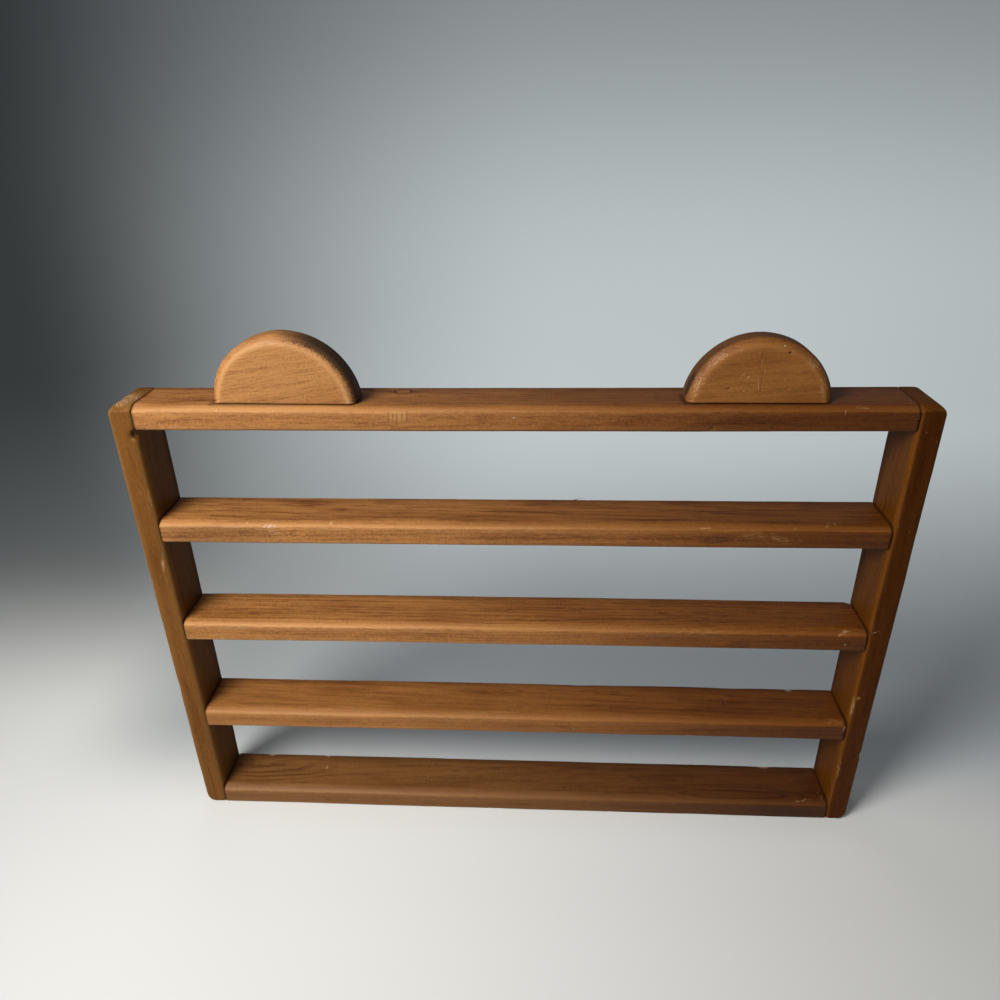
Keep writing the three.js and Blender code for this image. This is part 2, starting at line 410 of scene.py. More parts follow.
# %% Outline the holes
ROOM = 0.3
# An outline is (distance along the hole, radius) from the outer face to the tip.
NAIL_HOLE = ((-2.0, 2.1), (1.8 + ROOM, 2.1), (3.2 + ROOM, 1.33 + ROOM), (47.0, 1.33 + ROOM), (51.6, 0.02))
SCREW_HOLE = ((-1.5, 3.75), (1.1 + ROOM, 3.75), (3.3 + ROOM, 2.05), (30.5 + ROOM, 2.05), (36.1, 0.02))
KEYHOLE_BIT, KEYHOLE_NECK = 9.5, 4.8
KEYHOLE_LOW, KEYHOLE_HIGH = 350.0, 364.0
KEYHOLE_DEPTH, KEYHOLE_LIP = 9.0, 4.0


def nail_cutters(side, shelf):
    """Cutters for the nails of one side, or of one shelf, or of both where both are named."""
    made = []
    for name in sorted(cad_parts):
        words = name.split("_")
        if words[0] != "nail" or (side and words[1] != side) or (shelf and words[2] != shelf):
            continue
        low, high = box_of(name)
        hand = -1 if words[1] == "left" else 1
        outer = box_of(words[1] + "_side")[1 if hand > 0 else 0][0]
        made.append(turned((outer, *((low + high) / 2)[1:]), (-hand, 0, 0), NAIL_HOLE))
    return made


def screw_cutters(side):
    """Cutters for the screws under the ears, or under one of them."""
    made = []
    under = box_of("shelf_5")[0][2]
    for name in sorted(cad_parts):
        if name.startswith("screw_" + side):
            low, high = box_of(name)
            made.append(turned((*((low + high) / 2)[:2], under), (0, 0, 1), SCREW_HOLE))
    return made


def keyhole_cutters(x, back):
    """The way in, the neck above it and the wider run behind the neck, each a cutter of its own."""
    bottom = back - KEYHOLE_DEPTH
    return [
        [upright_slot(x, KEYHOLE_LOW, KEYHOLE_LOW + 0.2, KEYHOLE_BIT, bottom, back + 2)],
        [upright_slot(x, KEYHOLE_LOW, KEYHOLE_HIGH, KEYHOLE_NECK, bottom - 0.03, back + 2)],
        [upright_slot(x, KEYHOLE_LOW, KEYHOLE_HIGH, KEYHOLE_BIT, bottom - 0.06, back - KEYHOLE_LIP)],
    ]


# %% [markdown]
# ## Make the nine wooden pieces
#
# Each piece takes the place of one node of the working model. Three measures are stored with every
# point, because the finish needs them: how far it is from the front arrises, where hands rub the
# stain thin and a highlight line is painted, how far from the nearest board beside it, where dirt
# gathers, and how much it faces along the grain, because cut ends drink more stain.

# %% Measure arrises and seams
SMOOTH_ANGLE = math.radians(62)


def store(piece, name, values):
    """Keeps one number for each point of the piece under a name that its finish can read."""
    kept = piece.data.attributes.new(name, "FLOAT", "POINT")
    kept.data.foreach_set("value", values.astype(np.float32))


def distance_to_box(points, low, high):
    """The length of the step from each point to the nearest place in an upright box."""
    return np.linalg.norm(np.maximum(np.maximum(low - points, points - high), 0), axis=-1)


def to_line(first, second, at):
    """How far points are, in a section, from a line that runs through it at the place `at`."""
    return np.hypot(first - at[0], second - at[1])


def dress(piece, node, arris, neighbours, grain_axis=0):
    """Stores the three measures, smooths the shading, and lets the piece stand for its node."""
    points = points_of(piece)
    store(piece, "arris", arris)
    store(piece, "seam", np.min([distance_to_box(points, *box_of(other)) for other in neighbours], axis=0))
    store(piece, "end_grain", np.abs(normals_of(piece)[:, grain_axis]))
    piece.data.polygons.foreach_set("use_smooth", np.ones(len(piece.data.polygons), bool))
    piece.data.set_sharp_from_angle(angle=SMOOTH_ANGLE)
    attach(piece, BODY)
    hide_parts(node)
    sizes = [round(float(size), 1) for size in np.ptp(points, axis=0)]
    print(f"{piece.name}: {sizes} mm, {len(piece.data.polygons)} faces")


# %% [markdown]
# ## The shelves
#
# Five boards of one section. The top one has sagged a little between its ends and the second and
# third from below have risen, as thin pine does. Small knocks, a few saw nicks and a splinter
# lifting from one back edge are where the real ones are.

# %% Make the shelves
SMALL_END = ((eased, 0.4, 0.4), (eased, 0.4, 0.4))
SHELF_CORNERS = ((2.5, 2.5, False), (1.5, 1.5, False), (1.5, 1.5, False), (8.0, 4.0, True))
SHELF_BOW = {"1": 0.0, "2": 0.4, "3": 0.7, "4": 0.0, "5": -0.6}
BACK_LOOSENESS = {"1": 0.5, "2": 0.8, "3": 0.6, "4": 0.5, "5": 0.4}
FRONT = -22.5
# Five saw nicks in the top board: how far along, level and height of the dent, and of its dirt.
SAW_NICKS = (
    (-91.5, 397, 4, 395, 8), (-88, 396, 2.2, 396, 4), (-85.5, 396.5, 3, 394.5, 7),
    (-81.5, 396, 2, 396, 5), (-78, 397.5, 3, 395.5, 7),
)
SHELF_DENTS = {
    "5": [
        *[(x, FRONT, z, 0.6, 2.5, tall, 0.2) for x, z, tall, _, _ in SAW_NICKS],
        (140, -21.5, 386.5, 1.8, 2, 1.6, 0.9), (182, -21.5, 386.5, 1.4, 2, 1.2, 0.6),
    ],
    "4": [
        (-194.5, -21.8, 304.6, 4.6, 2.5, 1.4, 0.8), (-145, -20.5, 305.8, 1.6, 2.2, 1.6, 0.4),
        (160, -21, 304, 9, 3, 2, 0.5), (-175, FRONT, 299, 2.5, 2, 1.5, 0.3),
    ],
    "3": [(281.5, 22, 211, 2.4, 5, 6, 1.6), (262, -21, 208.5, 10, 3, 2.5, 0.5)],
    "2": [
        (55, 22.3, 114.5, 9, 2.5, 2.5, 0.5), (190, 22.3, 114.5, 16, 2.5, 2.5, 0.5),
        (244, 22, 114.5, 8, 3, 2.5, 0.4),
    ],
    "1": [
        (-248, 22, 18.5, 5, 2.5, 2, 0.35), (-191.5, 22, 18.5, 3, 2.5, 2, 0.3),
        (235, 22, 18.5, 9, 2.5, 2, 0.4),
    ],
}


def splinter(start, end, thickness, lift, steps=24, around=8):
    """Rings of a hair of wood: a path that rises from its root as a square, thinning to its tip."""
    share = np.linspace(0, 1, steps)[:, None]
    path = np.array(start) + (np.array(end) - np.array(start)) * share
    path[:, 2] += lift * share[:, 0] ** 2
    angle = np.linspace(0, 2 * np.pi, around, endpoint=False)
    circle = np.stack([np.zeros(around), np.cos(angle), np.sin(angle)], axis=-1)
    return path[:, None] + circle * (thickness * (1 - 0.85 * share))[:, :, None]


shelves = {}
for number in "12345":
    node = f"shelf_{number}"
    rings = eased_board(
        node, 0, SHELF_CORNERS, (SMALL_END,) * 4, seed=100 * int(number),
        bow=SHELF_BOW[number], rough_back=BACK_LOOSENESS[number],
    )
    board = skin(f"pine_shelf_{number}", [rings])
    press(board, SHELF_DENTS[number])
    if number == "4":
        hair = skin("hair", [splinter((41.0, 21.0, 306.2), (54.0, 21.4, 307.6), 0.42, 1.6)])
        join = board.modifiers.new("hair", "BOOLEAN")
        join.operation = "UNION"
        join.solver = "MANIFOLD"
        join.object = hair
    holes = [nail_cutters(None, number)]
    if number == "5":
        holes.append(screw_cutters(""))
    carve(board, holes)
    near = ["left_side", "right_side"]
    if number == "5":
        near += ["left_half_round", "right_half_round"]
    low, high = box_of(node)
    points = points_of(board)
    share = (points[:, 0] - low[0]) / (high[0] - low[0])
    level = points[:, 2] - SHELF_BOW[number] * 4 * share * (1 - share)
    behind_front = points[:, 1] - low[1]
    crisp_line = to_line(behind_front, high[2] - level, (0.0, 4.0))
    lower_line = to_line(behind_front, level - low[2], (0.7, 0.7))
    dress(board, node, np.minimum(crisp_line, lower_line), near)
    shelves[number] = board
bpy.data.objects.remove(hair)


# %% [markdown]
# ## The uprights
#
# The same stock, standing. Both front arrises are rounded, the outer corners are rounded off, and
# the top follows the wide easing of the top board, so the two meet in one line. A loose knot has
# fallen out under the top joint on the left, and the right one has a nick in it.

# %% Make the uprights
SIDE_CORNERS = ((4.5, 4.0, False), (1.5, 1.5, False), (1.5, 1.5, False), (4.0, 4.0, False))
SIDE_ENDS = (
    ((eased, 2.5, 2.5), (planed, 8.0, 4.0)),
    ((eased, 1.5, 1.5), (eased, 1.5, 1.5)),
    ((eased, 0.5, 0.5), (eased, 0.5, 0.5)),
    ((eased, 8.0, 8.0), (eased, 8.0, 8.0)),
)
SIDE_DENTS = {
    "left": [
        (-283.6, FRONT, 381, 2.4, 4, 3, 2.6), (-286.6, FRONT, 378.5, 1.6, 3, 2, 1.2),
        (-299, -20, 250, 3, 4, 9, 0.5), (-301, -19, 140, 3, 4, 6, 0.4),
    ],
    "right": [
        (286.8, -22, 143, 2.6, 3, 2.6, 0.9), (299, -20, 78, 4, 5, 2.2, 1.3),
        (284.5, -21, 133, 2, 3, 14, 0.5),
    ],
}
sides = {}
for hand, outward in (("left", -1), ("right", 1)):
    node = f"{hand}_side"
    rings = eased_board(node, 2, SIDE_CORNERS, SIDE_ENDS, outward, seed=700 + outward)
    board = skin(f"pine_{hand}_upright", [rings])
    press(board, SIDE_DENTS[hand])
    low, high = box_of(node)
    carve(board, [nail_cutters(hand, None), *keyhole_cutters((low[0] + high[0]) / 2, high[1])])
    points = points_of(board)
    behind_front = points[:, 1] - low[1]
    lines = [to_line(behind_front, np.abs(points[:, 0] - edge), (1.2, 1.2)) for edge in (low[0], high[0])]
    boards = [f"shelf_{number}" for number in "12345"]
    dress(board, node, np.min(lines, axis=0), boards, grain_axis=2)
    sides[hand] = board

# %% [markdown]
# ## The half rounds
#
# The left ear has a clean, even round-over. The right one is softer at its front arris and far
# more knocked about.

# %% Make the ears
EAR_STOCK = 22.0
EAR_BACK_ROUND = 5.0
EAR_DENTS = {
    "left": [(-186, -17, 448, 2.5, 3, 1.5, 0.35), (-120, -14, 425, 2, 3, 4, 0.3)],
    "right": [
        (170.8, -16, 434, 0.5, 2, 6, 0.35), (172.6, -16, 420, 0.5, 2, 7, 0.35),
        (161, -16, 423, 3, 2, 1.6, 0.35), (177.7, -15.5, 447, 1.2, 2, 0.8, 0.8),
        (188.8, -15.5, 439.8, 1, 2, 0.8, 0.7), (149.4, -16, 413.8, 1.6, 2, 0.9, 0.6),
        (130, -14, 428, 3, 3, 4, 0.5),
    ],
}
ears = {}
for hand, turn, front_round, tuck, seed in (("left", -0.02, 5.8, 2.0, 21), ("right", 0.0, 5.4, 0.0, 37)):
    node = f"{hand}_half_round"
    grid = half_round(node, turn, front_round, EAR_BACK_ROUND, EAR_STOCK, tuck, seed)
    ear = skin(f"pine_{hand}_ear", [grid])
    press(ear, EAR_DENTS[hand])
    carve(ear, [screw_cutters(hand)])
    low, high = box_of(node)
    width, height = (high[0] - low[0]) / 2, high[2] - low[2]
    radius = (width ** 2 + height ** 2) / (2 * height)
    from_middle = points_of(ear) - (low + high) / 2
    along = math.cos(turn) * from_middle[:, 0] + math.sin(turn) * from_middle[:, 1]
    inward = math.cos(turn) * from_middle[:, 1] - math.sin(turn) * from_middle[:, 0] + EAR_STOCK / 2
    from_rim = radius - np.hypot(along, from_middle[:, 2] + radius - height / 2)
    front_line = to_line(from_rim, inward, (front_round, 0.0))
    back_line = to_line(from_rim, EAR_STOCK - inward, (EAR_BACK_ROUND, 0.0))
    dress(ear, node, np.minimum(front_line, back_line), ["shelf_5"])
    ears[hand] = ear

# %% [markdown]
# ## Writing shader sums as sums
#
# A finish is a net of nodes, and most of them do plain arithmetic. `Wire` wraps one output of a
# node and gives it the usual operators, so `1 - mask` adds the Math node that works it out. Any
# other node comes from `Finish.node`, which takes its kind, its settings and its inputs.

# %% Wires and finishes
def both_ways(operation):
    """Two methods, for a wire before the other value and for a wire after it."""
    return (
        lambda self, other: self.math(operation, self, other),
        lambda self, other: self.math(operation, other, self),
    )


class Wire:
    """One output of a node. Arithmetic on wires adds Math nodes to the finish that they are in."""

    __add__, __radd__ = both_ways("ADD")
    __sub__, __rsub__ = both_ways("SUBTRACT")
    __mul__, __rmul__ = both_ways("MULTIPLY")
    __truediv__, __rtruediv__ = both_ways("DIVIDE")
    __pow__, __rpow__ = both_ways("POWER")

    def __init__(self, finish, socket):
        self.finish = finish
        self.socket = socket

    def math(self, operation, first, second=0.0):
        return self.finish.node("Math", {"operation": operation}, {0: first, 1: second})

    def most(self, other):
        return self.math("MAXIMUM", self, other)

    def alone(self, operation):
        return self.math(operation, self)

    def rise(self, low, high):
        """Climbs smoothly from 0 where the wire carries `low` to 1 where it carries `high`."""
        return self.finish.node(
            "MapRange", {"interpolation_type": "SMOOTHSTEP"},
            {"Value": self, "From Min": low, "From Max": high},
        )

    def axes(self):
        """The three numbers of a place."""
        return [self.finish.node("SeparateXYZ", {}, {0: self}, axis) for axis in range(3)]


class Finish:
    """A material in the making: its one shader, and the colour that has been laid on so far."""

    def __init__(self, name, constants, colour=None):
        self.material = bpy.data.materials.new(name)
        self.material.use_nodes = True
        self.tree = self.material.node_tree
        self.shader = self.tree.nodes["Principled BSDF"]
        self.colour = colour
        for socket, value in constants.items():
            self.shader.inputs[socket].default_value = value

    def node(self, kind, settings=None, inputs=None, output=0):
        """Adds a node, sets it, feeds its inputs with values or wires, and gives back one output."""
        made = self.tree.nodes.new("ShaderNode" + kind)
        for name, value in (settings or {}).items():
            setattr(made, name, value)
        for name, value in (inputs or {}).items():
            self.feed(made.inputs[name], value)
        return Wire(self, made.outputs[output])

    def feed(self, socket, value):
        """Links a wire or sets a value. A colour's fourth number, its opacity, is always 1."""
        if isinstance(value, Wire):
            self.tree.links.new(value.socket, socket)
        elif socket.type == "RGBA":
            socket.default_value = (*value, 1.0)
        else:
            socket.default_value = value

    def places(self):
        """Where each point lies on the object, in millimetres."""
        metres = self.node("TexCoord", {}, {}, "Object")
        return self.node("VectorMath", {"operation": "SCALE"}, {0: metres, "Scale": 1 / MM})

    def tint(self, mask, under, over, blend="MIX"):
        """Lays the colour `over` on the colour `under` where the mask is 1."""
        return self.node(
            "Mix", {"data_type": "RGBA", "blend_type": blend, "clamp_factor": True},
            {0: mask, 6: under, 7: over}, 2,
        )

    def lay(self, mask, over, blend="MIX"):
        """Lays one more colour on what is there so far."""
        self.colour = self.tint(mask, self.colour, over, blend)

    def dress(self, **inputs):
        """Feeds what varies over the surface to the shader."""
        for name, value in inputs.items():
            self.feed(self.shader.inputs[name.replace("_", " ").title()], value)
        return self.material


def paint(piece, material):
    """Gives a piece this one finish."""
    piece.data.materials.clear()
    piece.data.materials.append(material)
    print(f"{piece.name}: {material.name}, {len(material.node_tree.nodes)} nodes")


# %% [markdown]
# ## Two words for patterns
#
# `grains` is noise stretched in each direction, and `spot` is a soft patch of a given place, size
# and turn. Short helpers read better than long nets.

# %% Patterns
SPOT_CORE = 0.35
NO_TURN = (0, 0, 0)


def grains(place, pitch, detail=2.0, roughness=0.5):
    """Noise from 0 to 1 whose lumps measure `pitch` in each direction, in the units of `place`."""
    stretched = place.finish.node("VectorMath", {"operation": "DIVIDE"}, {0: place, 1: pitch})
    return place.finish.node(
        "TexNoise", {}, {"Vector": stretched, "Scale": 1.0, "Detail": detail, "Roughness": roughness},
    )


def spot(place, at, size, turn=NO_TURN):
    """A soft ellipsoid patch: 1 at `at`, falling to 0 at `size` away, turned by degrees."""
    settled = place.finish.node(
        "Mapping", {"vector_type": "TEXTURE"},
        {"Vector": place, "Location": at, "Rotation": [math.radians(a) for a in turn], "Scale": size},
    )
    away = place.finish.node("VectorMath", {"operation": "LENGTH"}, {0: settled}, 1)
    return 1 - away.rise(SPOT_CORE, 1.0)


# %% [markdown]
# ## Stained pine
#
# Pine grows a pale, soft layer each spring and a narrow dark one each summer, in cones round the
# heart of the tree. A board's faces cut them as long lines on one side and arches on the next.
# Rings worked out in the round, as distance from a leaning heart line, make all faces agree. Over
# that go fibres, dark resin lines, a cloudy stain, worn arrises with a painted highlight line, dirt,
# painted shade at the back and towards the right, and each board's own marks.

# %% The pine finish
SPRING, SUMMER = (0.36, 0.156, 0.046), (0.15, 0.048, 0.011)
# The first of these two is rubbed stain, and also the colour of a painted highlight along the arris.
RUBBED_AND_HIGHLIGHT, GOLDEN = (0.50, 0.235, 0.080), (0.45, 0.230, 0.080)
BARE, CHALK = (0.62, 0.41, 0.23), (0.56, 0.52, 0.47)
KNOT, KNOT_HEART = (0.035, 0.012, 0.005), (0.20, 0.070, 0.022)
# Dirt, and also the colour of the painted shade at the backs of the pieces and on the left ear's right
# rim.
DIRT_AND_SHADE = (0.022, 0.009, 0.004)
# These four darken what they are multiplied with.
UMBER, RESIN = (0.62, 0.50, 0.38), (0.40, 0.24, 0.16)
# The third darkens towards the right, partly as a deeper stain and partly as painted shade where the lamp
# reaches less. The fourth is painted shade on the fronts towards the right.
DEEPER_STAIN_AND_SHADE, RIGHT_FRONT_SHADE = (0.44, 0.31, 0.13), (0.62, 0.55, 0.45)
UPRIGHT_GRAIN = (0.0, math.pi / 2, 0.0)
LEVEL_GRAIN = (0.0, 0.0, 0.0)

# A kind of mark: how much flecks and specks break it up, where it starts and is full, strength, colour
MARK_KINDS = {
    "pale": (1.3, 1.3, 0.55, 1.00, 0.48, BARE),
    "chalk": (1.3, 1.3, 0.50, 0.95, 0.50, CHALK),
    "dark": (1.3, 1.1, 0.45, 0.85, 0.80, DIRT_AND_SHADE),
    "soft": (2.2, 1.2, 0.50, 1.60, 0.40, BARE),
    "golden": (0.6, 0.4, 0.20, 1.20, 0.50, GOLDEN),
    "scratch": (1.8, 1.4, 0.50, 1.20, 0.38, BARE),
    "speckle": (2.4, 2.4, 0.95, 1.50, 0.36, BARE),
    "smudge": (1.6, 0.6, 0.30, 1.40, 0.55, DIRT_AND_SHADE),
    "grime_and_shade": (0.4, 0.6, 0.20, 0.90, 0.85, DIRT_AND_SHADE),
    "tick": (0.4, 0.3, 0.30, 0.90, 0.45, DIRT_AND_SHADE),
    "haze": (2.4, 1.2, 0.60, 1.60, 0.32, GOLDEN),
    "shade": (0.6, 0.4, 0.00, 1.20, 0.30, DIRT_AND_SHADE),
}


def pine(name, grain, heart, lean, year, seed, tone=(1.0, 1.0, 1.0), wear_and_highlight=1.0, dirt_and_shade=1.0, rings=0.35,
         bold=1.0, soaked=0.34, stain_and_shade_rightward=1.0, stain_and_shade_reach=(-200.0, 290.0), cut_ends=0.3, rubbing_and_highlight=1.0,
         shine=0.18, underside=None, rim=None, knots=(), arches=(), marks=()):
    """Stained, waxed and worn pine.

    `grain` turns the piece so that its length lies along x. `heart` is the heart of the tree, as
    depth and height in mm, `lean` its drift per mm of length, and `year` the width of a ring.
    `soaked` is how much stain it took, `cut_ends` how much more on end grain, and
    `stain_and_shade_rightward` how much darker it gets to the right, over the reach
    `stain_and_shade_reach`: partly a deeper stain, partly painted shade where the lamp reaches less.
    `bold` is how strongly the grain shows, and `rubbing_and_highlight` scales the band that hands have
    rubbed and the painted highlight line along the arris. The lowest 2 mm above
    `underside` are darker, and so is the rim past `rim`, (depth, depth, aside, aside, strength):
    where it starts and is full. Knots are (place, radius), arches (place, size, years) and marks
    (kind, x, y, z, three sizes, and three turns if any).
    """
    constants = {"Coat Weight": 0.04, "Coat Roughness": 0.35, "Specular IOR Level": shine}
    finish = Finish(name, constants, SPRING)
    place = finish.places()
    wood = finish.node("Mapping", {"vector_type": "POINT"}, {"Vector": place, "Rotation": grain})
    elsewhere = (seed * 431, seed * 57, seed * 23)
    drift = finish.node("VectorMath", {"operation": "ADD"}, {0: wood, 1: elsewhere})
    length, depth, height = wood.axes()
    aside, front_to_back, level = place.axes()
    arris, seam, end_grain = (
        finish.node("Attribute", {"attribute_name": measure}, {}, "Fac")
        for measure in ("arris", "seam", "end_grain"))

    # How many years a point lies from the heart, and where in its year
    sway = grains(drift, (240, 70, 70), 2)
    across = depth - heart[0] - length * lean[0] + (sway - 0.5) * 14.0
    above = height - heart[1] - length * lean[1] + (sway - 0.5) * 9.0
    radius = (across * across + above * above) ** 0.5
    for knot_place, knot_radius in knots:
        near = spot(place, knot_place, (knot_radius * 5, knot_radius * 2.6, knot_radius * 2.6))
        radius = radius + near * near * year * 1.6
    arched = 0.0
    for arch_place, arch_size, years in arches:
        near = spot(place, arch_place, arch_size)
        radius = radius + near * year * years
        arched = near + arched
    uneven = grains(drift, (500, 7, 7), 1)
    turn_of_year = (radius / year + uneven * 1.5).alone("FRACT")
    summer = turn_of_year.rise(0.45, 0.95) * (1 - turn_of_year.rise(0.96, 1))

    # Fibres of several lengths, and the stain that they took
    strand = grains(drift, (260, 1.5, 1.5), 3, 0.62)
    fibre = grains(drift, (17, 0.75, 0.75), 3, 0.72)
    streak = grains(drift, (95, 4.2, 4.2), 3, 0.60)
    needle = grains(drift, (12, 0.8, 0.8), 1, 0.5)
    fleck = grains(drift, (5, 0.9, 0.9), 1, 0.6)
    cloud = grains(drift, (80, 24, 24), 2, 0.55)
    speck = grains(place, (1.15, 1.15, 1.15), 1, 0.6)
    lines = strand.rise(0.36, 0.66) * 0.30 + fibre.rise(0.38, 0.64) * 0.36
    speckled = (streak - 0.5) * 1.0 + (speck - 0.5) * 1.7
    stain = soaked - 0.36 + (summer * (arched * 0.8 + rings) + lines + speckled) * bold
    finish.lay(stain + end_grain * cut_ends, SUMMER)
    finish.lay(cloud.rise(0.45, 0.72) * 0.5, UMBER, "MULTIPLY")
    dark_lines = (needle + (streak - 0.5) * 0.7).rise(0.56, 0.70) * (1 - end_grain)
    finish.lay(dark_lines * 0.6 * bold, RESIN, "MULTIPLY")

    # What hands rubbed away, and a painted highlight along the front arris
    on_front = 1 - front_to_back.rise(-22.3, -21.4)
    handled = (1 - arris.rise(1.5 * rubbing_and_highlight, 10.0 * rubbing_and_highlight)) * (1 - on_front * 0.6)
    finish.lay(handled * (fibre * 0.9 + streak * 0.6 - 0.34) * wear_and_highlight, RUBBED_AND_HIGHLIGHT)
    rightward = aside.rise(*stain_and_shade_reach)
    # A paler line along the crisp arris: partly rubbed stain, partly a painted highlight that fades to the
    # right and on the fronts
    rubbed_line_and_highlight = (1 - arris.rise(0.6, 4.2)) * (1 - on_front * 0.8) * (1 - rightward * 0.4)
    finish.lay(rubbed_line_and_highlight * (0.35 + fleck * 0.7) * wear_and_highlight * rubbing_and_highlight, RUBBED_AND_HIGHLIGHT)
    rubbed = (1 - arris.rise(1, 6)) * (cloud * 0.4 + fleck * 0.6).rise(0.48, 0.64)
    chipped = (1 - arris.rise(0.2, 1.3)) * (speck * 0.5 + fleck * 0.5).rise(0.48, 0.62)
    worn = (rubbed * 0.10 + chipped * 0.15) * wear_and_highlight
    finish.lay(worn, BARE)

    # Dirt in the seams, painted shade at the back, a darker bottom edge and rim, then a deeper stain and
    # painted shade towards the right
    # Painted shade: each piece darkens towards its back, as the tops do under the shelf above
    back = (front_to_back + (streak - 0.5) * 16).rise(8, 25)
    crept = (seam + (cloud - 0.5) * 4).rise(2.2, 0.1)
    grime_and_shade = (crept * 0.6).most(back * 0.42) * dirt_and_shade
    if underside is not None:
        # Darker along the lowest 2 mm of a shelf
        below = (level + (speck - 0.5) * 1.5).rise(underside + 2, underside + 0.4)
        grime_and_shade = grime_and_shade.most(below * 0.5)
    if rim is not None:
        # A darker rim: painted shade on the left ear's right side, dirt all round the right ear
        past_rim = (front_to_back + (speck - 0.5) * 4).rise(rim[0], rim[1])
        past_rim = past_rim * front_to_back.rise(4.2, 1)
        grime_and_shade = grime_and_shade.most(past_rim * (aside + (speck - 0.5) * 12).rise(rim[2], rim[3]) * rim[4])
    finish.lay(grime_and_shade, DIRT_AND_SHADE)
    # Darker towards the right: partly a deeper stain, partly painted shade where the lamp reaches less,
    # with more painted shade on the fronts
    finish.lay(rightward * stain_and_shade_rightward, DEEPER_STAIN_AND_SHADE, "MULTIPLY")
    finish.lay(on_front * aside.rise(60, 290) * stain_and_shade_rightward, RIGHT_FRONT_SHADE, "MULTIPLY")
    finish.lay(1, tone, "MULTIPLY")

    # Knots, then marks
    bumps = fibre * 0.7 + speck * 0.25
    for knot_place, knot_radius in knots:
        core = spot(place, knot_place, (knot_radius, knot_radius * 0.85, knot_radius))
        core = core + (fleck - 0.5) * 0.3 * (1 - core) * core.rise(0, 0.02)
        bark = core.rise(0.01, 0.08) * (1 - core.rise(0.30, 0.62))
        tail = spot(place, knot_place, (knot_radius * 3.8, knot_radius * 0.5, knot_radius))
        finish.lay((tail - core).most(0) * (0.2 + fibre * 0.9), KNOT)
        finish.lay(core.rise(0.3, 0.6) * 0.35, KNOT_HEART)
        finish.lay(bark * (0.6 + fibre * 0.6), KNOT)
    for kind, *row in marks:
        flecks, specks, starts, full, strength, over = MARK_KINDS[kind]
        patch = spot(place, row[:3], row[3:6], row[6:] or NO_TURN)
        broken = patch + (fleck - 0.5) * flecks + (speck - 0.5) * specks
        mark = broken.rise(starts, full) * strength
        finish.lay(mark, over)
        if kind == "dark":
            bumps = bumps - mark
    shade = 0.58 + (fibre - 0.5) * 0.4 + worn * 0.15 + grime_and_shade * 0.15
    bump = finish.node("Bump", {}, {"Strength": 0.6, "Distance": 0.0003, "Height": bumps})
    return finish.dress(base_color=finish.colour, roughness=shade, normal=bump)


# %% [markdown]
# ## Each board's own finish
#
# The same recipe, with each board's own piece of the tree: where the heart lay, how wide the years
# are, and which marks it has picked up.

# %% Finish the shelves
SHELF_TREE = {
    "1": dict(
        # Its tone is darker, partly as painted shade under the boards above.
        heart=(-30, -34), lean=(0.05, 0.03), year=4.2, seed=1.3, tone=(0.57, 0.56, 0.50),
        rings=0.3, bold=0.65,
        arches=[((205, -15, 19), (85, 12, 20), 1.8), ((-235, -2, 19), (60, 16, 22), 1)],
    ),
    "2": dict(
        heart=(60, -20), lean=(0.02, 0.035), year=3.1, seed=2.6, tone=(0.88, 0.85, 0.72),
        bold=0.75,
    ),
    "3": dict(heart=(-50, 150), lean=(-0.03, 0.03), year=2.6, seed=3.1, tone=(1.07, 1.09, 1.02)),
    "4": dict(heart=(20, 245), lean=(0.035, 0.04), year=3.4, seed=4.9, tone=(1.04, 1.06, 1.02)),
    "5": dict(
        heart=(75, 370), lean=(-0.03, -0.03), year=3, seed=5.7, tone=(1.00, 1.01, 1.00),
        stain_and_shade_reach=(-260, 250), knots=[((-85.6, 12.5, 403), 8)],
    ),
}
